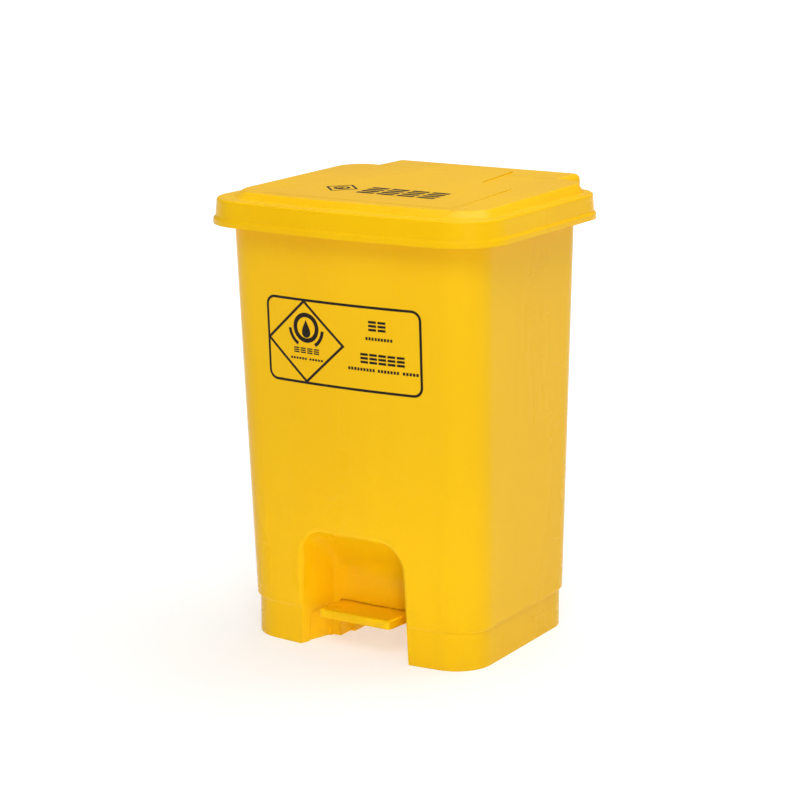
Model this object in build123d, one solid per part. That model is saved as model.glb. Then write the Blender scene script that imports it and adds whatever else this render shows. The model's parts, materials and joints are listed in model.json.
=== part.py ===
from build123d import *
import os
from math import cos, radians, sin, tan

# Pedal bin: moulded barrel, hinged lid, pedal lever, push rod and their small parts.
# Millimetres. The origin is the middle of the footprint on the floor.
# The front, with the pedal, faces -Y, +X is to the right and +Z is up.

os.makedirs("parts", exist_ok=True)

# ---------------------------------------------------------------- driving sizes: barrel
WALL = 2.5
CORNER_GROWTH = 4.7                     # how much a bowed front edge widens its corners
BASE_WIDTH, BASE_DEPTH, BASE_RADIUS, BASE_BOW = 249.5, 193.0, 32.0, 8.3
BASE_HEIGHT = 35.5                      # height of the step round the base
STEP_RISE = 3.0                         # the step is a short slope
LOW_WIDTH, LOW_DEPTH, LOW_RADIUS, LOW_BOW, LOW_Y = 254.2, 196.3, 32.6, 8.5, 0.0
TOP_WIDTH, TOP_DEPTH, TOP_RADIUS, TOP_BOW, TOP_Y = 268.1, 209.8, 30.4, 13.7, -9.4
TOP_Z = 400.0                           # where the upper section is measured
RIM_Z = 420.4                           # top of the rim
RIM_WIDTH, RIM_DEPTH, RIM_RADIUS, RIM_BOW, RIM_Y = 286.0, 224.0, 40.0, 12.0, -10.0
RIM_DROP = 14.0                         # height of the rim's hanging lip
RIM_THICK = 2.2
TUB_FLOOR_Z = 57.0                      # upper face of the tub floor
TUB_FLOOR_RADIUS = 8.0

# Foot recess from the front: y, half width at the floor, half width at the shoulder, height, radius
RECESS_SECTIONS = (
    (-122.0, 61.5, 55.0, 119.5, 26.0),
    (-92.0, 56.2, 51.5, 104.0, 20.0),
    (-74.0, 50.5, 49.3, 87.0, 14.0),
    (-67.0, 48.6, 48.0, 76.5, 10.5),
    (-64.0, 47.6, 47.0, 65.0, 8.0),
)
RECESS_BACK_Y = -64.0
# Soft front edge of the recess: depth behind the front wall, spread of the shoulders and the head
FLARE_SECTIONS = ((-3.0, 11.5), (0.0, 7.5), (1.0, 4.2), (2.6, 1.8), (5.0, -0.2), (9.0, -2.0))
FLARE_Y, FLARE_LEAN = -101.2, 0.08      # front wall beside the recess, at the floor, and its lean
FLARE_FOOT = 1.5                        # the flare's feet stay this far inside the recess's sides
SLOT_HALF_WIDTH, SLOT_HEIGHT = 40.0, 37.5
POCKET_FRONT_Y, POCKET_BACK_Y, POCKET_HEIGHT = -93.0, -68.0, 32.0
POCKET_DEPTH, POCKET_RADIUS = 2.4, 9.0  # shallow arched pocket inside each front foot

# Lever tunnel under the tub floor
TUNNEL_HALF_WIDTH, TUNNEL_JOG_Y = 35.5, -43.0
TAIL_GATE_HALF_WIDTH, TAIL_GATE_HEIGHT, TAIL_GATE_Y = 14.0, 50.0, 90.0

# ---------------------------------------------------------------- driving sizes: lid
LID_WALL = 2.3
LID_Y = -8.3
# Skirt from the bottom up: z, width, depth, corner radius, front bow
SKIRT_SECTIONS = (
    (400.0, 305.6, 246.6, 43.0, 13.7),
    (404.6, 304.8, 245.8, 42.7, 13.5),
    (407.2, 300.8, 241.8, 40.5, 13.0),
    (423.2, 297.0, 238.0, 37.0, 11.0),
)
SKIRT_EDGE_RADIUS = 2.2
PLATEAU_BASE = (276.0, 220.5, 30.0, 9.0, -1.7)   # width, depth, radius, bow, y
PLATEAU_TOP = (262.0, 206.6, 26.0, 9.0, 0.7)
PLATEAU_FRONT_Z, PLATEAU_REAR_Z = 428.3, 431.5
PLATEAU_EDGE_RADIUS = 2.4
HUMP_HALF_WIDTH, HUMP_FRONT_Y, HUMP_REAR_Y = 103.0, 100.0, 150.5
HUMP_BOTTOM_Z, HUMP_RADIUS, HUMP_EDGE_RADIUS = 408.0, 8.0, 6.0
# Raised centre panel, right half: x, y of its outline from the front
PANEL_HALF = ((101.0, -98.0), (93.5, 26.0), (50.0, 46.5), (43.0, 121.0))
PANEL_FRONT_RISE, PANEL_REAR_RISE = 0.15, 1.1

# ---------------------------------------------------------------- driving sizes: mechanism
LID_ANGLE = 75.0                        # full opening of the lid
PEDAL_ANGLE = 13.3                      # full travel of the pedal lever
PIVOT_Y, PIVOT_Z = 20.0, 27.0           # pedal axle
ROD_X, ROD_Y, ROD_RADIUS = -11.0, 110.5, 2.0
HINGE_Z = 412.0

# The lever's tail and the lid's crank each swing equally below and above level.
HALF_PEDAL, HALF_LID = radians(PEDAL_ANGLE / 2), radians(LID_ANGLE / 2)
TAIL_REACH = ROD_Y - PIVOT_Y
ROD_TRAVEL = 2 * TAIL_REACH * tan(HALF_PEDAL)
CRANK_REACH = ROD_TRAVEL / (2 * tan(HALF_LID))
HINGE_Y = ROD_Y + CRANK_REACH
ROD_LOW_Z = PIVOT_Z - ROD_TRAVEL / 2
ROD_HIGH_Z = HINGE_Z - ROD_TRAVEL / 2

# Details of the barrel
EAR_X, EAR_THICK, EAR_RADIUS = 77.5, 5.0, 6.5
EAR_ROOT_Y, EAR_ROOT_Z = 93.0, (372.0, 417.0)
CHANNEL_HALF, CHANNEL_ROOT_Y, CHANNEL_TOP_Z = 22.0, 94.5, 398.0
COVER_Y, COVER_THICK, COVER_RADIUS, COVER_BOTTOM_Z = 118.3, 2.0, 4.0, 3.0
BORDER_RISE, BORDER_WIDTH = 1.0, 2.0    # raised border round the rear cover
COVER_SCREW_X, COVER_SCREW_Z, POST_RADIUS = 19.0, (70.0, 215.0, 375.0), 4.0
GUIDE_X, GUIDE_FACE_Y, GUIDE_HALF = (-18.0, 10.0), 99.5, 7.0
GUIDE_Z, GUIDE_SCREW_X = (120.0, 340.0), 4.0
SCREW_DEPTH, GUIDE_SCREW_DEPTH, PILOT_RADIUS = 12.0, 6.0, 1.6
NOTCH_HALF, NOTCH_Y = 26.0, 98.4

# Details of the lid
KNUCKLE_X, KNUCKLE_ROOT_Y = 70.0, (110.0, 138.0)
PANEL_RADIUS = 3.0
RIB = 2.0
RIB_Z, LID_RIB_X, LID_RIB_Y, LID_RIB_REACH = 422.0, 46.0, (-70.0, 10.0, 80.0), 124.0

# Lid crank
CRANK_TOP_Z, CRANK_THICK, CRANK_GAP, CRANK_WEB = 421.2, 2.0, 4.5, 17.5
CRANK_Y, CRANK_EDGE, CRANK_SLOT_RADIUS = (107.0, 120.5), 6.0, 2.8
CRANK_SCREW_X, CRANK_SCREW_Y, CRANK_PILOT = 13.0, 114.0, 6.5

# Pedal lever
PEDAL_FRONT_Y, PEDAL_REAR_Y, PEDAL_HALF, PEDAL_THICK = -103.5, -48.5, 39.3, 8.4
PEDAL_TOP_Z, PEDAL_REAR_TOP_Z = 39.0, 35.9
PEDAL_CORNER, PEDAL_EDGE = 3.5, 2.0
PEDAL_RIB_X = (-14.0, 12.0)
ARM_HALF, ARM_STEP, HUB_RADIUS, HUB_HALF = 31.0, 0.6, 8.0, 34.0
HOLLOW_DROP, HOLLOW_SHIFT = 6.0, 3.0    # the arm's hollows open below the hub and behind it
TAIL_RADIUS, TAIL_HALF, TAIL_ROOT_HALF, TAIL_NECK_Y = 6.0, 7.0, 22.0, 92.0
TAIL_SCOOP = ((36.0, 21.0, 5.5), (84.0, ROD_LOW_Z - 3.0, 3.5))   # y, z and radius of each end
FORK_Y, FORK_GAP, TAIL_SLOT_RADIUS = 99.0, 4.0, 2.25

# Rod, guides, screws and clips
ROD_BEND, ROD_LEG_X = 3.5, 10.0
AXLE_HALF = 41.0
PIN_INSIDE, PIN_HEAD, PIN_HEAD_EDGE = 3.0, (1.6, 4.5), 0.8       # head: thickness, radius
CLIP_GAP, CLIP_MOUTH, CLIP_PLAY = 0.05, 0.7, 0.3
AXLE_CLIP, PIN_CLIP, ROD_CLIP = (1.2, 3.0), (1.0, 2.5), (0.8, 2.2)   # thickness, height
ROD_CLIP_LOW_X, ROD_CLIP_HIGH_X = 8.0, 7.4
GUIDE_FOOT, GUIDE_FOOT_HALF, GUIDE_FOOT_RADIUS = 3.0, 6.0, 2.5
GUIDE_EYE_HALF, GUIDE_EYE_RADIUS, GUIDE_ARM_HALF = 5.0, 4.6, 4.0
SCREW_HEAD_EDGE, CROSS_LENGTH, CROSS_WIDTH, CROSS_DEPTH = 1.0, 4.0, 0.9, 1.0
SCREW_RADIUS, CLEAR_RADIUS, SCREW_HEAD, SCREW_HEAD_RADIUS = 1.5, 1.8, 2.0, 3.2

# Pins and running fits
AXLE_RADIUS, HINGE_PIN_RADIUS, FIT_GAP = 3.0, 2.5, 0.06


# ---------------------------------------------------------------- helpers
def block(x0, x1, y0, y1, z0, z1):
    """A box between two corners."""
    centre = Pos((x0 + x1) / 2, (y0 + y1) / 2, (z0 + z1) / 2)
    return centre * Box(x1 - x0, y1 - y0, z1 - z0)


def both_sides(solid):
    """A solid and its mirror image across the middle plane."""
    return solid + mirror(solid, about=Plane.YZ)


def footprint(width, depth, radius, bow, y_mid):
    """A rounded rectangle whose front edge bulges forward and has larger corners."""
    half, front, back = width / 2, y_mid - depth / 2, y_mid + depth / 2
    outline = ThreePointArc((-half, front), (0, front - bow), (half, front))
    outline += Polyline((half, front), (half, back), (-half, back), (-half, front))
    face = make_face(outline)
    face = fillet(face.vertices().group_by(Axis.Y)[-1], radius)
    front_radius = radius * (1 + CORNER_GROWTH * bow / width)
    return fillet(face.vertices().group_by(Axis.Y)[0], front_radius)


def side_plate(profile, x0, x1):
    """A sketch in the Y-Z plane, made solid from x0 to x1."""
    return Pos(x0, 0, 0) * extrude(Plane.YZ * profile, x1 - x0)


def disc(y, z, radius):
    """A circle for a Y-Z sketch."""
    return Pos(y, z) * Circle(radius)


def panel(y0, y1, z0, z1):
    """A rectangle for a Y-Z sketch."""
    return Pos((y0 + y1) / 2, (z0 + z1) / 2) * Rectangle(y1 - y0, z1 - z0)


def hull(*shapes):
    """The outline stretched round some sketches."""
    edges = [edge for shape in shapes for edge in shape.edges()]
    return make_hull(edges)


def pin_x(x0, x1, y, z, radius):
    """A round bar along X."""
    return Pos((x0 + x1) / 2, y, z) * Rot(0, 90, 0) * Cylinder(radius, x1 - x0)


def pin_y(y0, y1, x, z, radius):
    """A round bar along Y."""
    return Pos(x, (y0 + y1) / 2, z) * Rot(90, 0, 0) * Cylinder(radius, y1 - y0)


def pin_z(z0, z1, x, y, radius):
    """A round bar along Z."""
    return Pos(x, y, (z0 + z1) / 2) * Cylinder(radius, z1 - z0)


# ---------------------------------------------------------------- barrel
def body_section(z, inset=0.0):
    """The barrel wall's outline at a height, or inset from it."""
    share = (z - BASE_HEIGHT) / (TOP_Z - BASE_HEIGHT)

    def mix(low, top):
        return low + (top - low) * share

    width, depth = mix(LOW_WIDTH, TOP_WIDTH), mix(LOW_DEPTH, TOP_DEPTH)
    radius, bow, y_mid = mix(LOW_RADIUS, TOP_RADIUS), mix(LOW_BOW, TOP_BOW), mix(LOW_Y, TOP_Y)
    sketch = footprint(width - 2 * inset, depth - 2 * inset, radius - inset, bow, y_mid)
    return Pos(0, 0, z) * sketch


def base_section(z, inset=0.0):
    """The base skirt's outline at a height, or inset from it."""
    sketch = footprint(
        BASE_WIDTH - 2 * inset, BASE_DEPTH - 2 * inset, BASE_RADIUS - inset, BASE_BOW, 0.0
    )
    return Pos(0, 0, z) * sketch


def arch(foot, shoulder, head, radius):
    """A round-shouldered outline that stands on the floor."""
    outline = Polyline((-foot, -1), (foot, -1), (shoulder, head), (-shoulder, head), (-foot, -1))
    face = make_face(outline)
    return fillet(face.vertices().sort_by(Axis.Y)[-2:], radius)


def recess(grow):
    """The foot recess, grown by a wall thickness for its shell."""
    sections = []
    for y, foot, shoulder, head, radius in RECESS_SECTIONS:
        outline = arch(foot + grow, shoulder + grow, head + grow, radius + grow)
        if y == RECESS_BACK_Y:
            y += grow
        sections.append(Plane((0, y, 0), x_dir=(1, 0, 0), z_dir=(0, -1, 0)) * outline)
    return loft(sections)


def recess_flare(grow):
    """The recess's soft front edge: widest at the shoulders, nothing at the floor."""
    front, behind = RECESS_SECTIONS[:2]
    sections = []
    for depth, spread in FLARE_SECTIONS:
        y = FLARE_Y + depth - FLARE_LEAN * behind[3]
        share = (y - front[0]) / (behind[0] - front[0])
        foot, shoulder, head, radius = [a + (b - a) * share for a, b in zip(front[1:], behind[1:])]
        spread += grow
        outline = arch(foot - FLARE_FOOT + grow, shoulder + spread, head + spread, radius + spread)
        plane = Plane((0, FLARE_Y + depth + grow, 0), x_dir=(1, 0, 0), z_dir=(0, -1, -FLARE_LEAN))
        sections.append(plane * outline)
    return loft(sections)


def rim():
    """The flange round the mouth, with its hanging lip."""
    outer = footprint(RIM_WIDTH, RIM_DEPTH, RIM_RADIUS, RIM_BOW, RIM_Y)
    inner = footprint(
        RIM_WIDTH - 2 * RIM_THICK,
        RIM_DEPTH - 2 * RIM_THICK,
        RIM_RADIUS - RIM_THICK,
        RIM_BOW,
        RIM_Y,
    )
    solid = Pos(0, 0, RIM_Z - RIM_DROP) * extrude(outer, RIM_DROP)
    solid = fillet(solid.edges().group_by(Axis.Z)[-1], RIM_THICK * 0.6)
    return solid - Pos(0, 0, RIM_Z - RIM_DROP) * extrude(inner, RIM_DROP - RIM_THICK)


def hinge_ear():
    """The right hinge ear: a gusset from the back wall to the hinge pin."""
    root = panel(EAR_ROOT_Y, EAR_ROOT_Y + 2, EAR_ROOT_Z[0], EAR_ROOT_Z[1])
    profile = hull(disc(HINGE_Y, HINGE_Z, EAR_RADIUS), root)
    return side_plate(profile, EAR_X, EAR_X + EAR_THICK)


def channel_ribs():
    """Walls, screw posts and guide pads on the back of the barrel."""
    ribs = both_sides(
        block(CHANNEL_HALF, CHANNEL_HALF + WALL, CHANNEL_ROOT_Y, COVER_Y, 2.0, CHANNEL_TOP_Z)
    )
    for z in COVER_SCREW_Z:
        ribs += both_sides(pin_y(CHANNEL_ROOT_Y, COVER_Y, COVER_SCREW_X, z, POST_RADIUS))
    for z in GUIDE_Z:
        ribs += block(
            GUIDE_X[0], GUIDE_X[1], CHANNEL_ROOT_Y, GUIDE_FACE_Y, z - GUIDE_HALF, z + GUIDE_HALF
        )
    return ribs


def channel_holes():
    """Pilot holes for the screws of the cover and the guides."""
    holes = []
    for z in COVER_SCREW_Z:
        for x in (-COVER_SCREW_X, COVER_SCREW_X):
            holes.append(pin_y(COVER_Y - SCREW_DEPTH, COVER_Y, x, z, PILOT_RADIUS))
    for z in GUIDE_Z:
        depth = GUIDE_FACE_Y - GUIDE_SCREW_DEPTH
        holes.append(pin_y(depth, GUIDE_FACE_Y, GUIDE_SCREW_X, z, PILOT_RADIUS))
    return holes


def tunnel_walls():
    """The two walls under the tub floor that the pedal lever runs between."""
    roof = TUB_FLOOR_Z - WALL
    wide, narrow = SLOT_HALF_WIDTH, TUNNEL_HALF_WIDTH
    wall = block(wide, wide + WALL, RECESS_BACK_Y, TUNNEL_JOG_Y, 0, roof)
    wall += block(narrow, wide + WALL, TUNNEL_JOG_Y - WALL, TUNNEL_JOG_Y, 0, roof)
    wall += block(narrow, narrow + WALL, TUNNEL_JOG_Y - WALL, BASE_DEPTH / 2 - 1, 0, roof)
    return both_sides(wall)


def foot_pockets(grow):
    """Arched pockets in the inner side walls of the front feet, or the walls behind them."""
    outline = panel(
        POCKET_FRONT_Y - grow, POCKET_BACK_Y + grow, -POCKET_HEIGHT - grow, POCKET_HEIGHT + grow
    )
    outline = fillet(outline.vertices(), POCKET_RADIUS + grow)
    return side_plate(outline, -BASE_WIDTH / 2, BASE_WIDTH / 2) & recess(POCKET_DEPTH + grow)


def make_barrel():
    step_top = BASE_HEIGHT + STEP_RISE
    shell = extrude(base_section(0), BASE_HEIGHT)
    shell += loft([base_section(BASE_HEIGHT), body_section(step_top)], ruled=True)
    shell += loft([body_section(step_top), body_section(RIM_Z)], ruled=True)
    envelope = shell

    shell += rim() + both_sides(hinge_ear()) + channel_ribs()
    tub = loft([body_section(TUB_FLOOR_Z, WALL), body_section(RIM_Z + 1, WALL)], ruled=True)
    tub = fillet(tub.edges().group_by(Axis.Z)[0], TUB_FLOOR_RADIUS)
    shell -= tub
    shell -= extrude(base_section(-1, WALL), TUB_FLOOR_Z - WALL + 1)

    shell += (recess(WALL) + recess_flare(WALL) + foot_pockets(WALL)) & envelope
    shell += tunnel_walls()
    shell -= recess(0) + recess_flare(0)
    slot = block(
        -SLOT_HALF_WIDTH, SLOT_HALF_WIDTH, RECESS_BACK_Y - 2, RECESS_BACK_Y + 4, -1, SLOT_HEIGHT
    )
    gate = block(
        -TAIL_GATE_HALF_WIDTH,
        TAIL_GATE_HALF_WIDTH,
        TAIL_GATE_Y,
        CHANNEL_ROOT_Y + 5,
        -1,
        TAIL_GATE_HEIGHT,
    )
    notch = block(-NOTCH_HALF, NOTCH_HALF, NOTCH_Y, NOTCH_Y + 20, CHANNEL_TOP_Z - 2, RIM_Z + 1)
    cuts = [slot, gate, notch, foot_pockets(0)]
    cuts.append(pin_x(-60, 60, PIVOT_Y, PIVOT_Z, AXLE_RADIUS + FIT_GAP))
    cuts.append(pin_x(-100, 100, HINGE_Y, HINGE_Z, HINGE_PIN_RADIUS + FIT_GAP))
    for cut in cuts + channel_holes():
        shell -= cut
    return shell


# ---------------------------------------------------------------- lid
def lid_form(inset):
    """The lid's outer form, or the form of its inside."""
    lower, upper = [], []
    for index, (z, width, depth, radius, bow) in enumerate(SKIRT_SECTIONS):
        sketch = footprint(width - 2 * inset, depth - 2 * inset, radius - inset, bow, LID_Y)
        if index == len(SKIRT_SECTIONS) - 1:
            z -= inset
        lower.append(Pos(0, 0, z) * sketch)
    skirt = loft(lower, ruled=True)
    skirt = fillet(skirt.edges().group_by(Axis.Z)[-1], SKIRT_EDGE_RADIUS - inset / 2)

    width, depth, radius, bow, y_mid = PLATEAU_BASE
    deck_z = SKIRT_SECTIONS[-1][0] - inset
    base = footprint(width - 2 * inset, depth - 2 * inset, radius - inset, bow, y_mid)
    upper.append(Pos(0, 0, deck_z - 1.0) * base)
    width, depth, radius, bow, y_mid = PLATEAU_TOP
    top = footprint(width - 2 * inset, depth - 2 * inset, radius - inset, bow, y_mid)
    upper.append(plateau_plane(-inset) * top)
    plateau = loft(upper, ruled=True)
    plateau = fillet(plateau.edges().group_by(Axis.Z)[-1], PLATEAU_EDGE_RADIUS)

    half, rear = HUMP_HALF_WIDTH - inset, HUMP_REAR_Y - inset
    bottom = HUMP_BOTTOM_Z if inset == 0 else SKIRT_SECTIONS[0][0] - 1
    hump = block(-half, half, HUMP_FRONT_Y, rear, bottom, PLATEAU_REAR_Z - inset)
    corners = hump.edges().filter_by(Axis.Z).group_by(Axis.Y)[-1]
    hump = fillet(corners, HUMP_RADIUS - inset)
    top_edges = hump.edges().group_by(Axis.Z)[-1].sort_by(Axis.Y)[1:]
    hump = fillet(top_edges, HUMP_EDGE_RADIUS - inset)
    return skirt, plateau, hump


def plateau_plane(lift):
    """The plateau's sloping plane, raised or lowered."""
    depth, bow, y_mid = PLATEAU_TOP[1], PLATEAU_TOP[3], PLATEAU_TOP[4]
    front, rear = y_mid - depth / 2 - bow, y_mid + depth / 2
    slope = (PLATEAU_REAR_Z - PLATEAU_FRONT_Z) / (rear - front)
    height = PLATEAU_REAR_Z - slope * rear + lift
    return Plane((0, 0, height), x_dir=(1, 0, 0), z_dir=(0, -slope, 1))


def centre_panel():
    """The slightly raised panel in the middle of the lid."""
    right = list(PANEL_HALF)
    left = [(-x, y) for x, y in reversed(right)]
    outline = Polyline(*right, *left, right[0])
    outer = fillet(make_face(outline).vertices(), PANEL_RADIUS)
    front_y, rear_y = right[0][1], right[-1][1]
    prism = Pos(0, 0, PLATEAU_FRONT_Z - LID_WALL) * extrude(outer, 10.0)
    lift = (PANEL_FRONT_RISE + PANEL_REAR_RISE) / 2
    tilt = (PANEL_REAR_RISE - PANEL_FRONT_RISE) / (rear_y - front_y)
    roof = plateau_plane(lift - tilt * (front_y + rear_y) / 2)
    top = Plane(roof.origin, x_dir=(1, 0, 0), z_dir=(0, roof.z_dir.Y / roof.z_dir.Z - tilt, 1))
    return prism - top * (Pos(0, 0, 20) * Box(400, 400, 40))


def knuckle():
    """The right hinge knuckle, hanging from the roof of the hump."""
    roof = PLATEAU_REAR_Z - LID_WALL / 2
    root = panel(KNUCKLE_ROOT_Y[0], KNUCKLE_ROOT_Y[1], roof - 1, roof)
    profile = hull(disc(HINGE_Y, HINGE_Z, EAR_RADIUS), root)
    return side_plate(profile, KNUCKLE_X, KNUCKLE_X + EAR_THICK)


def lid_ribs():
    """Stiffening ribs under the plateau."""
    roof = PLATEAU_FRONT_Z - LID_WALL / 2
    ribs = both_sides(block(LID_RIB_X, LID_RIB_X + RIB, LID_RIB_Y[0], LID_RIB_Y[-1], RIB_Z, roof))
    for y in LID_RIB_Y:
        ribs += block(-LID_RIB_REACH, LID_RIB_REACH, y, y + RIB, RIB_Z, roof)
    return ribs


def make_lid():
    skirt, plateau, hump = lid_form(0)
    lid = skirt + plateau + hump
    for form in lid_form(LID_WALL):
        lid -= form
    lid += centre_panel() + both_sides(knuckle()) + lid_ribs()
    roof = PLATEAU_REAR_Z - LID_WALL / 2
    lid += both_sides(pin_z(CRANK_TOP_Z, roof, CRANK_SCREW_X, CRANK_SCREW_Y, POST_RADIUS))
    lid -= both_sides(
        pin_z(CRANK_TOP_Z, CRANK_TOP_Z + CRANK_PILOT, CRANK_SCREW_X, CRANK_SCREW_Y, PILOT_RADIUS)
    )
    bore = pin_x(KNUCKLE_X - 1, EAR_X, HINGE_Y, HINGE_Z, HINGE_PIN_RADIUS + FIT_GAP)
    return lid - both_sides(bore)


def make_lid_crank():
    """A bent steel bracket whose two plates carry the slot for the rod's top leg."""
    far = CRANK_REACH / cos(HALF_LID)
    near = CRANK_REACH
    ends = []
    for reach in (near, far):
        ends.append((HINGE_Y - reach * cos(HALF_LID), HINGE_Z - reach * sin(HALF_LID)))
    discs = [disc(y, z, CRANK_EDGE) for y, z in ends]
    top = CRANK_TOP_Z
    plate = hull(*discs, panel(CRANK_Y[0], CRANK_Y[1], top - CRANK_THICK, top))
    slot = hull(*[disc(y, z, CRANK_SLOT_RADIUS) for y, z in ends])
    cheek = side_plate(plate - slot, CRANK_GAP, CRANK_GAP + CRANK_THICK)
    web = block(-CRANK_WEB, CRANK_WEB, CRANK_Y[0], CRANK_Y[1], top - CRANK_THICK, top)
    web = fillet(web.edges().filter_by(Axis.Z), 3.0)
    crank = both_sides(cheek) + web
    hole = pin_z(top - 5, top + 5, CRANK_SCREW_X, CRANK_SCREW_Y, CLEAR_RADIUS)
    return crank - both_sides(hole)


# ---------------------------------------------------------------- pedal lever
def lever_tread():
    """The foot plate, open below, with two ribs."""
    front, rear = PEDAL_FRONT_Y, PEDAL_REAR_Y
    side = make_face(
        Polyline(
            (front, PEDAL_TOP_Z - PEDAL_THICK),
            (front, PEDAL_TOP_Z),
            (rear, PEDAL_REAR_TOP_Z),
            (rear, PEDAL_REAR_TOP_Z - PEDAL_THICK),
            (front, PEDAL_TOP_Z - PEDAL_THICK),
        )
    )
    tread = side_plate(side, -PEDAL_HALF, PEDAL_HALF)
    tread = fillet(tread.edges().filter_by(Axis.Z).group_by(Axis.Y)[0], PEDAL_CORNER)
    tread = fillet(tread.edges().group_by(Axis.Z)[-1], PEDAL_EDGE)
    inner = PEDAL_HALF - WALL
    tread -= block(-inner, inner, front + WALL, rear - WALL, 0, PEDAL_REAR_TOP_Z - WALL)
    foot, roof = PEDAL_TOP_Z - PEDAL_THICK + 1, PEDAL_REAR_TOP_Z - 1
    for x in PEDAL_RIB_X:
        tread += block(x, x + RIB, front + 1, rear - 1, foot, roof)
    return tread


def lever_tail():
    """The tapering tail, scooped out below, with a slotted fork for the rod's lower leg."""
    hub = disc(PIVOT_Y, PIVOT_Z, HUB_RADIUS)
    profile = hull(hub, disc(ROD_Y, ROD_LOW_Z, TAIL_RADIUS))
    beyond = ROD_Y + 2 * TAIL_RADIUS
    root, start = TAIL_ROOT_HALF, PIVOT_Y - HUB_RADIUS + 3
    right = [(root, start), (TAIL_HALF, TAIL_NECK_Y), (TAIL_HALF, beyond)]
    left = [(-x, y) for x, y in reversed(right)]
    plan = make_face(Polyline(*right, *left, right[0]))
    tail = side_plate(profile, -root, root) & extrude(plan, HUB_RADIUS + PIVOT_Z + 1)

    scoop = hull(*[disc(y, z, radius) for y, z, radius in TAIL_SCOOP])
    right = [(root - WALL - RIB, PIVOT_Y), (TAIL_HALF - WALL, TAIL_NECK_Y + 3)]
    left = [(-x, y) for x, y in reversed(right)]
    scoop_plan = make_face(Polyline(*right, *left, right[0]))
    tail -= side_plate(scoop, -root, root) & extrude(scoop_plan, PIVOT_Z)

    slot_ends = []
    for reach in (TAIL_REACH, TAIL_REACH / cos(HALF_PEDAL)):
        slot_ends.append((PIVOT_Y + reach * cos(HALF_PEDAL), PIVOT_Z - reach * sin(HALF_PEDAL)))
    slot = hull(*[disc(y, z, TAIL_SLOT_RADIUS) for y, z in slot_ends])
    tail -= block(-FORK_GAP, FORK_GAP, FORK_Y, beyond, 0, PIVOT_Z + HUB_RADIUS)
    return tail - side_plate(slot, -root, root)


def make_pedal_lever():
    """Foot plate, arm, pivot hub and forked tail in one moulding, at rest."""
    foot, roof = PEDAL_REAR_TOP_Z - PEDAL_THICK, PEDAL_REAR_TOP_Z - ARM_STEP
    hub = disc(PIVOT_Y, PIVOT_Z, HUB_RADIUS)
    arm = hull(hub, panel(PEDAL_REAR_Y - 12, PEDAL_REAR_Y - 2, foot, roof))
    lever = lever_tread() + side_plate(arm, -ARM_HALF, ARM_HALF)
    hollow = hull(
        disc(PIVOT_Y - HOLLOW_SHIFT, PIVOT_Z - HOLLOW_DROP, HUB_RADIUS - WALL),
        panel(PEDAL_REAR_Y - 16, PEDAL_REAR_Y - 2, foot - HOLLOW_DROP, roof - WALL - 1),
    )
    middle = (ARM_HALF - WALL) / 2
    for x in (-middle, middle):
        lever -= side_plate(hollow, x - middle + RIB / 2, x + middle - RIB / 2)
    lever += lever_tail()
    lever += pin_x(-HUB_HALF, HUB_HALF, PIVOT_Y, PIVOT_Z, HUB_RADIUS)
    return lever - pin_x(-60, 60, PIVOT_Y, PIVOT_Z, AXLE_RADIUS + FIT_GAP)


# ---------------------------------------------------------------- pins, rod and clips
def make_pedal_axle():
    return pin_x(-AXLE_HALF, AXLE_HALF, PIVOT_Y, PIVOT_Z, AXLE_RADIUS)


def clip(x0, x1, y, z, inner, outer):
    """A spring clip: an open ring on the end of a bar along X."""
    ring = pin_x(x0, x1, y, z, outer) - pin_x(x0 - 1, x1 + 1, y, z, inner + CLIP_GAP)
    mouth = inner * CLIP_MOUTH
    return ring - block(x0 - 1, x1 + 1, y - mouth, y + mouth, z - outer - 1, z)


def make_pedal_axle_clips():
    x, (thick, high) = TUNNEL_HALF_WIDTH + WALL + CLIP_PLAY, AXLE_CLIP
    return both_sides(clip(x, x + thick, PIVOT_Y, PIVOT_Z, AXLE_RADIUS, AXLE_RADIUS + high))


def make_hinge_pin():
    """The right hinge pin, with its head outside the ear."""
    head_x, (thick, radius) = EAR_X + EAR_THICK + CLIP_PLAY, PIN_HEAD
    pin = pin_x(KNUCKLE_X - PIN_INSIDE, head_x, HINGE_Y, HINGE_Z, HINGE_PIN_RADIUS)
    head = pin_x(head_x, head_x + thick, HINGE_Y, HINGE_Z, radius)
    return pin + fillet(head.edges().group_by(Axis.X)[-1], PIN_HEAD_EDGE)


def make_hinge_pin_clips():
    x, (thick, high) = KNUCKLE_X - PIN_INSIDE / 2, PIN_CLIP
    radius = HINGE_PIN_RADIUS
    return both_sides(clip(x, x + thick, HINGE_Y, HINGE_Z, radius, radius + high))


def make_push_rod():
    """A bent wire: a leg through the lever's fork, the long run, a leg through the crank."""
    path = FilletPolyline(
        (ROD_LEG_X, ROD_Y, ROD_LOW_Z),
        (ROD_X, ROD_Y, ROD_LOW_Z),
        (ROD_X, ROD_Y, ROD_HIGH_Z),
        (ROD_LEG_X, ROD_Y, ROD_HIGH_Z),
        radius=ROD_BEND,
    )
    start = Plane((ROD_LEG_X, ROD_Y, ROD_LOW_Z), z_dir=(-1, 0, 0))
    return sweep(start * Circle(ROD_RADIUS), path=path)


def make_push_rod_clips():
    clips, (thick, high) = [], ROD_CLIP
    for x, z in ((ROD_CLIP_LOW_X, ROD_LOW_Z), (ROD_CLIP_HIGH_X, ROD_HIGH_Z)):
        clips.append(clip(x, x + thick, ROD_Y, z, ROD_RADIUS, ROD_RADIUS + high))
    return sum_solids(clips)


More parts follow.
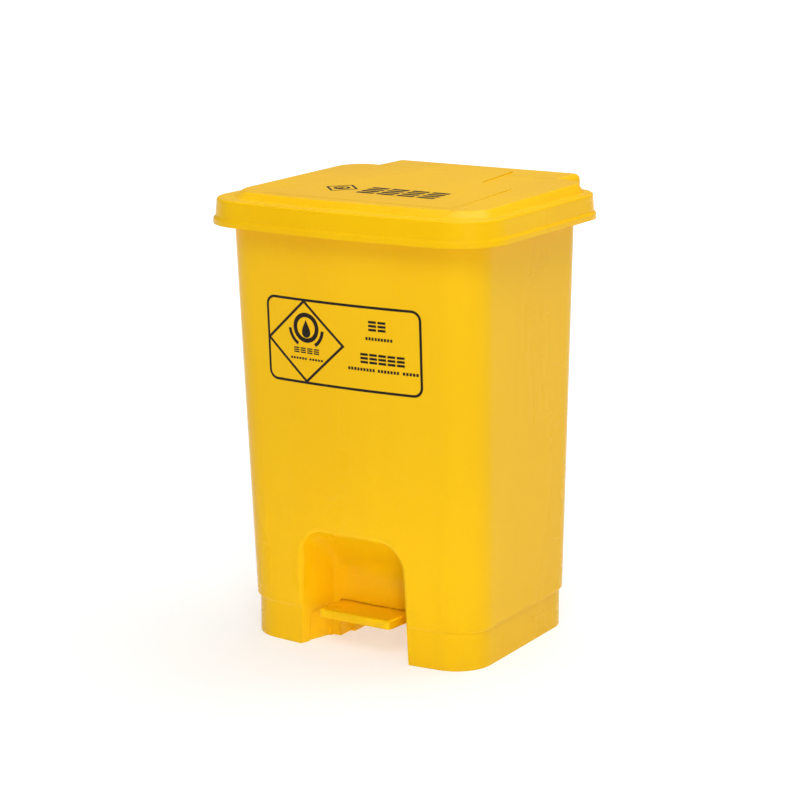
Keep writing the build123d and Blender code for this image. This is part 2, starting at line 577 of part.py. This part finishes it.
def make_rod_guide(z):
    """A nylon eye on a flat foot, screwed to the back wall."""
    face = GUIDE_FACE_Y + GUIDE_FOOT
    low, high = z - GUIDE_EYE_HALF, z + GUIDE_EYE_HALF
    foot = block(
        GUIDE_X[0], GUIDE_X[1], GUIDE_FACE_Y, face, z - GUIDE_FOOT_HALF, z + GUIDE_FOOT_HALF
    )
    foot = fillet(foot.edges().filter_by(Axis.Y), GUIDE_FOOT_RADIUS)
    arm = block(
        ROD_X - GUIDE_ARM_HALF, ROD_X + GUIDE_ARM_HALF, GUIDE_FACE_Y + 1, ROD_Y, low, high
    )
    guide = foot + arm + pin_z(low, high, ROD_X, ROD_Y, GUIDE_EYE_RADIUS)
    guide -= pin_z(low - 1, high + 1, ROD_X, ROD_Y, ROD_RADIUS + FIT_GAP)
    return guide - pin_y(GUIDE_FACE_Y - 1, face + 1, GUIDE_SCREW_X, z, CLEAR_RADIUS)


def screw_y(y_face, x, z, length):
    """A cross-head screw driven towards -Y, its head resting on y_face."""
    shank = pin_y(y_face - length, y_face, x, z, SCREW_RADIUS)
    head = pin_y(y_face, y_face + SCREW_HEAD, x, z, SCREW_HEAD_RADIUS)
    head = fillet(head.edges().group_by(Axis.Y)[-1], SCREW_HEAD_EDGE)
    bottom = y_face + SCREW_HEAD - CROSS_DEPTH
    for a, b in ((CROSS_LENGTH / 2, CROSS_WIDTH / 2), (CROSS_WIDTH / 2, CROSS_LENGTH / 2)):
        head -= block(x - a, x + a, bottom, bottom + SCREW_HEAD, z - b, z + b)
    return shank + head


def make_rod_guide_screws():
    face, length = GUIDE_FACE_Y + GUIDE_FOOT, GUIDE_SCREW_DEPTH + GUIDE_FOOT - 0.5
    return sum_solids([screw_y(face, GUIDE_SCREW_X, z, length) for z in GUIDE_Z])


def make_rear_cover():
    """The plate that closes the rod channel, with a raised border."""
    half, outer_y = CHANNEL_HALF + WALL, COVER_Y + COVER_THICK + BORDER_RISE
    cover = block(-half, half, COVER_Y, outer_y, COVER_BOTTOM_Z, CHANNEL_TOP_Z)
    cover = fillet(cover.edges().filter_by(Axis.Y), COVER_RADIUS)
    field = block(
        BORDER_WIDTH - half,
        half - BORDER_WIDTH,
        COVER_Y + COVER_THICK,
        outer_y + 1,
        COVER_BOTTOM_Z + BORDER_WIDTH,
        CHANNEL_TOP_Z - BORDER_WIDTH,
    )
    cover -= fillet(field.edges().filter_by(Axis.Y), COVER_RADIUS - BORDER_WIDTH / 2)
    for z in COVER_SCREW_Z:
        cover -= both_sides(pin_y(COVER_Y - 1, COVER_Y + 4, COVER_SCREW_X, z, CLEAR_RADIUS))
    return cover


def make_rear_cover_screws():
    face = COVER_Y + COVER_THICK
    screws = []
    for z in COVER_SCREW_Z:
        for x in (-COVER_SCREW_X, COVER_SCREW_X):
            screws.append(screw_y(face, x, z, SCREW_DEPTH - 1))
    return sum_solids(screws)


def make_lid_crank_screws():
    screws = []
    for x in (-CRANK_SCREW_X, CRANK_SCREW_X):
        screw = Rot(-90, 0, 0) * screw_y(0, 0, 0, CRANK_PILOT)
        screws.append(Pos(x, CRANK_SCREW_Y, CRANK_TOP_Z - CRANK_THICK) * screw)
    return sum_solids(screws)


def sum_solids(solids):
    """Separate solids kept together as one group."""
    return Compound(children=[solid for shape in solids for solid in shape.solids()])


# ---------------------------------------------------------------- write the pieces
PIECES = {
    "barrel": make_barrel(),
    "rear_cover": make_rear_cover(),
    "rear_cover_screws": make_rear_cover_screws(),
    "rod_guide_lower": make_rod_guide(GUIDE_Z[0]),
    "rod_guide_upper": make_rod_guide(GUIDE_Z[1]),
    "rod_guide_screws": make_rod_guide_screws(),
    "pedal_axle": make_pedal_axle(),
    "pedal_axle_clips": make_pedal_axle_clips(),
    "hinge_pin_right": make_hinge_pin(),
    "hinge_pin_left": mirror(make_hinge_pin(), about=Plane.YZ),
    "hinge_pin_clips": make_hinge_pin_clips(),
    "lid": make_lid(),
    "lid_crank": make_lid_crank(),
    "lid_crank_screws": make_lid_crank_screws(),
    "pedal_lever": make_pedal_lever(),
    "push_rod": make_push_rod(),
    "push_rod_clips": make_push_rod_clips(),
}

for name, piece in PIECES.items():
    export_step(piece, f"parts/{name}.step")
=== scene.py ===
import json
import math

import bmesh
import bpy
from mathutils import Matrix, Vector
from mathutils.bvhtree import BVHTree


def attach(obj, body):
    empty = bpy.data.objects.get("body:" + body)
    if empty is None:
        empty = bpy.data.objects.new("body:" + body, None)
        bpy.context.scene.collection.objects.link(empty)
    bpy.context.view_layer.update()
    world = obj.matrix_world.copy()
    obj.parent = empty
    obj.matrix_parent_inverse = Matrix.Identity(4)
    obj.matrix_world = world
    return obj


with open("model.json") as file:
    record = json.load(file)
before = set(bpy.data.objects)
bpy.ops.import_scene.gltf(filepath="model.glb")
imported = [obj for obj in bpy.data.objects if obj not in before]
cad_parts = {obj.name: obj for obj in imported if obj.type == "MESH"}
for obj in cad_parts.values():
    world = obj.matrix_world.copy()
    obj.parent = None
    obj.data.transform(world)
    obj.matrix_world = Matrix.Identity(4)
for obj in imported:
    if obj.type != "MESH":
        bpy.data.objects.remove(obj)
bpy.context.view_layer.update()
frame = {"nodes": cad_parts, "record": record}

NODES = frame["nodes"]
MM = 0.001

# ---------------------------------------------------------------- camera
VIEW_AZIMUTH, VIEW_ELEVATION = math.radians(31.088), math.radians(13.759)
VIEW_DISTANCE = 2.27707
VIEW_TARGET = Vector((0.0, 0.0, 0.2))
LENS, SENSOR = 107.2, 36.0
SHIFT = (-0.01346, 0.03144)


def add_camera():
    """A camera that looks at the bin from its front right, a little from above."""
    back = Vector(
        (
            math.sin(VIEW_AZIMUTH) * math.cos(VIEW_ELEVATION),
            -math.cos(VIEW_AZIMUTH) * math.cos(VIEW_ELEVATION),
            math.sin(VIEW_ELEVATION),
        )
    )
    data = bpy.data.cameras.new("camera")
    data.lens, data.sensor_width = LENS, SENSOR
    data.shift_x, data.shift_y = SHIFT
    camera = bpy.data.objects.new("camera", data)
    bpy.context.scene.collection.objects.link(camera)
    camera.matrix_world = Matrix.Translation(VIEW_TARGET + back * VIEW_DISTANCE) @ (
        back.to_track_quat("Z", "Y").to_matrix().to_4x4()
    )
    bpy.context.scene.camera = camera


# ---------------------------------------------------------------- shader tools
class Graph:
    """Short calls for building a material's nodes."""

    def __init__(self, name):
        self.material = bpy.data.materials.new(name)
        self.material.use_nodes = True
        self.tree = self.material.node_tree
        self.shader = self.tree.nodes["Principled BSDF"]
        self.place = self.add("ShaderNodeTexCoord").outputs["Object"]

    def add(self, kind, **settings):
        node = self.tree.nodes.new(kind)
        for key, value in settings.items():
            setattr(node, key, value)
        return node

    def link(self, value, socket):
        if isinstance(value, bpy.types.NodeSocket):
            self.tree.links.new(value, socket)
        else:
            socket.default_value = value

    def noise(self, scale, detail=3.0, stretch=(1, 1, 1), roughness=0.5):
        mapping = self.add("ShaderNodeMapping")
        mapping.inputs["Scale"].default_value = stretch
        self.link(self.place, mapping.inputs["Vector"])
        node = self.add("ShaderNodeTexNoise")
        node.inputs["Scale"].default_value = scale
        node.inputs["Detail"].default_value = detail
        node.inputs["Roughness"].default_value = roughness
        self.link(mapping.outputs["Vector"], node.inputs["Vector"])
        return node.outputs["Fac"]

    def ramp(self, value, low, high, to_low=0.0, to_high=1.0):
        node = self.add("ShaderNodeMapRange", interpolation_type="SMOOTHSTEP")
        self.link(value, node.inputs["Value"])
        for key, amount in (
            ("From Min", low),
            ("From Max", high),
            ("To Min", to_low),
            ("To Max", to_high),
        ):
            node.inputs[key].default_value = amount
        return node.outputs["Result"]

    def math(self, operation, first, second=0.0):
        node = self.add("ShaderNodeMath", operation=operation)
        self.link(first, node.inputs[0])
        self.link(second, node.inputs[1])
        return node.outputs[0]

    def mix(self, factor, first, second):
        node = self.add("ShaderNodeMix", data_type="RGBA")
        self.link(factor, node.inputs["Factor"])
        self.link(first, node.inputs["A"])
        self.link(second, node.inputs["B"])
        return node.outputs["Result"]

    def height(self):
        """Height above the floor, in metres."""
        node = self.add("ShaderNodeSeparateXYZ")
        self.link(self.place, node.inputs[0])
        return node.outputs["Z"]

    def rounded(self, radius):
        """The surface normal with every edge softened over a radius."""
        node = self.add("ShaderNodeBevel", samples=6)
        node.inputs["Radius"].default_value = radius
        return node.outputs["Normal"]

    def edges(self, radius):
        """One along the edges and corners, nothing on flat ground."""
        flat, sharp = 0.999, 0.93           # softened normal against true normal
        dot = self.add("ShaderNodeVectorMath", operation="DOT_PRODUCT")
        self.link(self.rounded(radius), dot.inputs[0])
        self.link(self.add("ShaderNodeNewGeometry").outputs["Normal"], dot.inputs[1])
        return self.ramp(dot.outputs["Value"], flat, sharp)

    def bump(self, height, strength, distance, base=None):
        node = self.add("ShaderNodeBump")
        node.inputs["Strength"].default_value = strength
        node.inputs["Distance"].default_value = distance
        self.link(height, node.inputs["Height"])
        if base is not None:
            self.link(base, node.inputs["Normal"])
        return node.outputs["Normal"]

    def set(self, **values):
        for key, value in values.items():
            self.link(value, self.shader.inputs[key.replace("_", " ")])


def colour(red, green, blue):
    return (red, green, blue, 1.0)


# ---------------------------------------------------------------- light and floor
ROOM_LIGHT = 0.245
FLOOR_WHITE, FLOOR_GLOW = 0.6, 0.5
FLOOR_SIZE = 30.0
GLOW_RISES = (0.3, 3.0)                 # distances between which the floor fades to white
# Soft boxes: name, place, point aimed at and size in metres, power in watts, spread in degrees.
# The low one is a narrow beam that lifts the pedal and the front of its recess.
SOFT_BOXES = (
    ("key", (0.9, -1.85, 2.35), (0, 0, 0.2), (1.3, 1.3), 28.5, 180),
    ("left", (-2.6, -1.7, 1.2), (0, 0, 0.2), (1.6, 1.6), 2.0, 180),
    ("right", (2.2, -1.7, 0.9), (0, 0, 0.2), (1.4, 1.4), 7.5, 180),
    ("top", (0.2, 0.5, 2.4), (0, 0, 0.3), (1.8, 1.8), 38.0, 180),
    ("low", (1.0, -1.3, 0.25), (-0.03, -0.09, 0.05), (0.15, 0.1), 0.034, 13),
)


def add_soft_box(name, place, aim, size, power, spread):
    """A rectangular lamp that faces the point aim and stays out of the picture itself."""
    data = bpy.data.lights.new(name, "AREA")
    data.shape = "RECTANGLE"
    data.size, data.size_y = size
    data.energy = power
    data.spread = math.radians(spread)
    lamp = bpy.data.objects.new(name, data)
    lamp.visible_camera = False
    bpy.context.scene.collection.objects.link(lamp)
    direction = Vector(aim) - Vector(place)
    lamp.matrix_world = Matrix.Translation(place) @ (
        direction.to_track_quat("-Z", "Y").to_matrix().to_4x4()
    )


def add_studio():
    """A room that is dim to the bin and white to the camera, with the soft boxes in it."""
    world = bpy.data.worlds.new("studio")
    world.use_nodes = True
    nodes, links = world.node_tree.nodes, world.node_tree.links
    background = nodes["Background"]
    background.inputs["Color"].default_value = (1.0, 1.0, 1.0, 1.0)
    seen = nodes.new("ShaderNodeLightPath").outputs["Is Camera Ray"]
    level = nodes.new("ShaderNodeMapRange")
    links.new(seen, level.inputs["Value"])
    level.inputs["To Min"].default_value = ROOM_LIGHT
    level.inputs["To Max"].default_value = 1.0
    links.new(level.outputs["Result"], background.inputs["Strength"])
    bpy.context.scene.world = world
    for box in SOFT_BOXES:
        add_soft_box(*box)
    bpy.context.scene.view_settings.view_transform = "Standard"


def add_floor():
    """A plain white floor that glows a little, and fades to a white distance."""
    bpy.ops.mesh.primitive_plane_add(size=FLOOR_SIZE)
    floor = bpy.context.object
    floor.name = "floor"
    graph = Graph("floor_paper")
    away = graph.add("ShaderNodeVectorMath", operation="LENGTH")
    graph.link(graph.place, away.inputs[0])
    graph.set(Base_Color=colour(FLOOR_WHITE, FLOOR_WHITE, FLOOR_WHITE), Roughness=0.9)
    glow = graph.ramp(away.outputs["Value"], *GLOW_RISES, FLOOR_GLOW, 1.0)
    graph.set(Emission_Color=colour(1.0, 1.0, 1.0), Emission_Strength=glow)
    floor.data.materials.append(graph.material)


# ---------------------------------------------------------------- materials
def moulded_yellow():
    """Yellow polypropylene: faint flow bands, fine scuffs, rubbed edges, dust at the foot."""
    graph = Graph("moulded_yellow")
    flow = graph.noise(7.0, 4.0, (1, 1, 0.3))
    bands = graph.noise(34.0, 2.0, (1, 1, 0.12))
    deep, bright = colour(0.905, 0.512, 0.0022), colour(0.93, 0.545, 0.003)
    banded = colour(0.9, 0.5, 0.002)
    tint = graph.mix(graph.ramp(flow, 0.3, 0.7), deep, bright)
    tint = graph.mix(graph.ramp(bands, 0.45, 0.8, 0.0, 0.35), tint, banded)

    edges = graph.edges(0.0012)
    worn = graph.math("MULTIPLY", edges, graph.ramp(graph.noise(60.0, 4.0), 0.45, 0.7))
    rubbed = colour(0.96, 0.64, 0.08)
    tint = graph.mix(graph.math("MULTIPLY", worn, 0.25), tint, rubbed)

    low = graph.ramp(graph.height(), 0.03, 0.0)
    dust = graph.math("MULTIPLY", low, graph.ramp(graph.noise(90.0, 5.0), 0.42, 0.75))
    dusty = colour(0.66, 0.4, 0.06)
    tint = graph.mix(graph.math("MULTIPLY", dust, 0.08), tint, dusty)
    graph.set(Base_Color=tint)

    scuffs = graph.ramp(graph.noise(16.0, 5.0, (1, 1, 2.5), 0.7), 0.56, 0.74)
    rough = graph.math("MULTIPLY", scuffs, 0.06)
    rough = graph.math("ADD", rough, graph.ramp(flow, 0.25, 0.75, 0.24, 0.31))
    rough = graph.math("ADD", rough, graph.math("MULTIPLY", dust, 0.12))
    graph.set(Roughness=graph.math("ADD", rough, graph.math("MULTIPLY", worn, 0.2)))

    skin = graph.bump(graph.noise(700.0, 2.0), 0.06, 0.0002, graph.rounded(0.0007))
    graph.set(Normal=graph.bump(graph.noise(24.0, 2.0, (1, 1, 0.4)), 0.1, 0.0003, skin))
    graph.shader.inputs["Specular IOR Level"].default_value = 0.105
    graph.shader.inputs["IOR"].default_value = 1.49
    return graph.material


def printed_ink():
    """Dark brown screen ink, slightly thin in places."""
    graph = Graph("printed_ink")
    thin = graph.ramp(graph.noise(420.0, 4.0), 0.4, 0.75)
    full, faded = colour(0.008, 0.004, 0.002), colour(0.025, 0.012, 0.005)
    graph.set(Base_Color=graph.mix(thin, full, faded))
    graph.set(Roughness=graph.ramp(thin, 0.0, 1.0, 0.32, 0.5))
    graph.set(Normal=graph.bump(thin, 0.1, 0.00005))
    graph.shader.inputs["Specular IOR Level"].default_value = 0.15
    return graph.material


def metal(name, base, shine, grain, stretch):
    """Steel with drawn or plated grain, dull patches and bright worn edges."""
    graph = Graph(name)
    cloud = graph.noise(70.0, 5.0)
    lines = graph.noise(grain, 2.0, stretch)
    dark = tuple(0.7 * part for part in base[:3]) + (1.0,)
    tint = graph.mix(graph.ramp(cloud, 0.3, 0.7), dark, base)
    worn = graph.math("MULTIPLY", graph.edges(0.0004), 0.5)
    tint = graph.mix(worn, tint, colour(0.8, 0.8, 0.8))
    graph.set(Base_Color=tint)
    graph.set(Roughness=graph.ramp(lines, 0.3, 0.7, shine * 0.75, shine * 1.3))
    graph.set(Normal=graph.bump(lines, 0.12, 0.0001, graph.rounded(0.0003)))
    graph.shader.inputs["Metallic"].default_value = 1.0
    return graph.material


def natural_nylon():
    """Milky nylon with a soft, slightly uneven sheen."""
    graph = Graph("natural_nylon")
    cloud = graph.noise(120.0, 4.0)
    deep, pale = colour(0.68, 0.64, 0.52), colour(0.78, 0.75, 0.66)
    graph.set(Base_Color=graph.mix(graph.ramp(cloud, 0.3, 0.7), deep, pale))
    graph.set(Roughness=graph.ramp(cloud, 0.3, 0.7, 0.38, 0.52))
    graph.set(Normal=graph.bump(graph.noise(900.0, 2.0), 0.08, 0.0002, graph.rounded(0.0004)))
    return graph.material


def finish_cad_nodes():
    """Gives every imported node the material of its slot."""
    even, drawn = (1, 1, 1), (1, 1, 0.02)
    zinc, bright = colour(0.62, 0.61, 0.57), colour(0.66, 0.66, 0.67)
    black = colour(0.1, 0.1, 0.105)
    materials = {
        "yellow_plastic": moulded_yellow(),
        "nylon": natural_nylon(),
        "zinc_steel": metal("zinc_steel", zinc, 0.34, 300.0, even),
        "bright_steel": metal("bright_steel", bright, 0.2, 900.0, drawn),
        "spring_steel": metal("spring_steel", black, 0.4, 300.0, even),
    }
    for part in frame["record"]["subparts"]:
        for slot in NODES[part["node"]].material_slots:
            slot.material = materials[part["material_slot"]]


# ---------------------------------------------------------------- printed marks
# A mark is a ribbon between two rows of points, in millimetres on the surface it is printed on.
INK_RISE, INK_SINK = 0.1 * MM, 0.05 * MM
LINE = 2.4
STRIPE_GAP = 0.6                        # space between a block's stripes, in stripes
LONG_SIDE, SIDE_GAP = 10.0, 4.0         # a side longer than the first is split about this often
DIAMOND_STEPS = 10                      # points along each side of a diamond
DROP_TOP, DROP_BOTTOM, DROP_STEP = 0.25, 0.12, 0.16
DROP_TALL, DROP_TAPER = 1.25, 1.6
SHEET_Y, SHEET_Z = -0.3, 0.6            # metres, clear in front of the bin and above the lid


def steps(start, end, gap=3.0):
    """Evenly spaced values from start to end, no more than gap apart."""
    count = max(1, math.ceil(abs(end - start) / gap))
    return [start + (end - start) * i / count for i in range(count + 1)]


def bar(x0, x1, y0, y1):
    """A filled rectangle."""
    columns = steps(x0, x1)
    return [(x, y0) for x in columns], [(x, y1) for x in columns], False


def arc(x, y, radius, width, start, end):
    """A curved stroke with square ends, or a ring when it goes all the way round."""
    closed = abs(end - start) >= 360
    angles = [math.radians(a) for a in steps(start, end, 9.0)]
    if closed:
        angles.pop()
    inner, outer = [
        [(x + r * math.cos(a), y + r * math.sin(a)) for a in angles]
        for r in (radius - width / 2, radius + width / 2)
    ]
    return inner, outer, closed


def drop(x, y, size):
    """A filled droplet with its point up."""
    left, right = [], []
    for a in steps(DROP_TOP, math.pi - DROP_BOTTOM, DROP_STEP):
        half = size * math.sin(a) * math.sin(a / 2) ** DROP_TAPER
        height = y + DROP_TALL * size * math.cos(a)
        left.append((x - half, height))
        right.append((x + half, height))
    return left, right, False


def rounded_frame(half_x, half_y, radius, width, x, y):
    """A rounded rectangle drawn as a line."""
    loops = []
    for inset in (0.0, width):
        loop = []
        a, b, r = half_x - inset, half_y - inset, radius - inset
        for index, (sx, sy) in enumerate(((1, 1), (-1, 1), (-1, -1), (1, -1))):
            for angle in steps(index * 90, index * 90 + 90, 10):
                turn = math.radians(angle)
                across = x + sx * (a - r) + r * math.cos(turn)
                loop.append((across, y + sy * (b - r) + r * math.sin(turn)))
        loops.append(divide(loop))
    return *loops, True


def divide(loop):
    """Adds points along a closed outline's long sides."""
    result = []
    for (x0, y0), (x1, y1) in zip(loop, loop[1:] + loop[:1]):
        span = math.dist((x0, y0), (x1, y1))
        count = round(span / SIDE_GAP) if span > LONG_SIDE else 1
        result += [
            (x0 + (x1 - x0) * i / count, y0 + (y1 - y0) * i / count) for i in range(count)
        ]
    return result


def diamond(x, y, half_x, half_y, width):
    """A diamond drawn as a line."""
    shrink = 1 - width * math.hypot(half_x, half_y) / (half_x * half_y)
    corners = ((1, 0), (0, 1), (-1, 0), (0, -1))
    loops = []
    for k in (1.0, shrink):
        loop = []
        for (ax, ay), (bx, by) in zip(corners, corners[1:] + corners[:1]):
            for i in range(DIAMOND_STEPS):
                t = i / DIAMOND_STEPS
                across = x + k * half_x * (ax + (bx - ax) * t)
                loop.append((across, y + k * half_y * (ay + (by - ay) * t)))
        loops.append(loop)
    return *loops, True


def dashes(x0, x1, y, height, dash=2.3, gap=1.0):
    """A row of short dashes."""
    count = round((x1 - x0 + gap) / (dash + gap))
    step = (x1 - x0 + gap) / count
    return [
        bar(x0 + i * step, x0 + (i + 1) * step - gap, y - height / 2, y + height / 2)
        for i in range(count)
    ]


def blocks(x, y, count, pitch, width, height, rows=3):
    """A row of plain striped blocks, centred on a point."""
    marks = []
    stripe = height / (rows + (rows - 1) * STRIPE_GAP)
    for i in range(count):
        left = x + (i - (count - 1) / 2) * pitch - width / 2
        for row in range(rows):
            low = y - height / 2 + row * stripe * (1 + STRIPE_GAP)
            marks.append(bar(left, left + width, low, low + stripe))
    return marks


def front_label():
    """A framed panel with a diamond, a ringed droplet and plain marks for wording."""
    middle_z = 298.9
    frame_half_x, frame_half_z, frame_corner = 82.6, 40.1, 9.5
    marks = [rounded_frame(frame_half_x, frame_half_z, frame_corner, LINE, 0.0, middle_z)]
    marks.append(diamond(-39.4, middle_z, half_x=43.2, half_y=39.3, width=LINE))

    symbol_x, symbol_z = -38.0, 312.0
    marks.append(arc(symbol_x, symbol_z, radius=12.0, width=4.2, start=0, end=360))
    marks.append(drop(symbol_x, symbol_z - 0.8, size=6.8))
    half_sweep = 27
    for middle in (212, 328):
        start, end = middle - half_sweep, middle + half_sweep
        marks.append(arc(symbol_x, symbol_z, radius=18.2, width=3.2, start=start, end=end))

    # Inside the diamond, under the symbol
    marks += blocks(-38.4, 290.4, count=4, pitch=7.4, width=5.8, height=5.2)
    for start, end in ((-56.5, -38.5), (-35.5, -20.5)):
        marks += dashes(start, end, 282.6, height=2.0)

    # Beside the diamond, a short pair of rows over a long pair
    marks += blocks(38.3, 320.9, count=2, pitch=9.6, width=8.0, height=9.4)
    marks += dashes(26.2, 53.5, 309.0, height=2.8)
    marks += blocks(42.7, 290.4, count=5, pitch=9.3, width=7.8, height=9.4)
    for start, end in ((7.0, 34.6), (37.8, 59.3), (63.1, 78.6)):
        marks += dashes(start, end, 279.8, height=2.8)
    return marks


def lid_label():
    """A small diamond with a ringed droplet, and four plain striped blocks."""
    x, y = -48.6, -43.0
    marks = [diamond(x, y, half_x=17.7, half_y=19.0, width=2.2)]
    marks.append(arc(x, y, radius=6.4, width=2.8, start=0, end=360))
    marks.append(drop(x, y - 0.4, size=3.4))
    return marks + blocks(17.8, y, count=4, pitch=21.6, width=18.0, height=33.0, rows=4)


def lay_ink(name, marks, node, body, start, across, up, towards):
    """Drapes ink marks over a node.

    The marks lie on a flat sheet with its origin at start and its axes across and up. Each
    point is cast along towards until it meets the node.
    """
    surface = NODES[node].data
    tree = BVHTree.FromPolygons(
        [vertex.co for vertex in surface.vertices],
        [face.vertices for face in surface.polygons],
    )
    start, across, up, towards = Vector(start), Vector(across), Vector(up), Vector(towards)
    ink = bmesh.new()
    for first, second, closed in marks:
        columns = []
        for pair in zip(first, second):
            column = []
            for x, y in pair:
                origin = start + across * x * MM + up * y * MM
                hit, normal, _, _ = tree.ray_cast(origin, towards)
                if normal.dot(towards) > 0:
                    normal = -normal
                column.append(ink.verts.new(hit + normal * INK_RISE))
                column.append(ink.verts.new(hit - normal * INK_SINK))
            columns.append(column)
        links = list(zip(columns, columns[1:]))
        if closed:
            links.append((columns[-1], columns[0]))
        for (a, b, c, d), (e, f, g, h) in links:
            for quad in ((a, e, g, c), (b, d, h, f), (a, b, f, e), (c, g, h, d)):
                ink.faces.new(quad)
        if not closed:
            for a, b, c, d in (columns[0], columns[-1]):
                ink.faces.new((a, c, d, b))
    bmesh.ops.recalc_face_normals(ink, faces=ink.faces)
    mesh = bpy.data.meshes.new(name)
    ink.to_mesh(mesh)
    ink.free()
    piece = bpy.data.objects.new(name, mesh)
    bpy.context.scene.collection.objects.link(piece)
    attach(piece, body)
    return piece


def add_print():
    """The ink on the front wall and on the lid."""
    ink = printed_ink()
    right, back, up, down = (1, 0, 0), (0, 1, 0), (0, 0, 1), (0, 0, -1)
    over_front, over_lid = (0, SHEET_Y, 0), (0, 0, SHEET_Z)
    front = lay_ink("front_print", front_label(), "barrel", "bin", over_front, right, up, back)
    top = lay_ink("lid_print", lid_label(), "lid", "lid", over_lid, right, back, down)
    for piece in (front, top):
        piece.data.materials.append(ink)


add_camera()
add_studio()
add_floor()
finish_cad_nodes()
add_print()
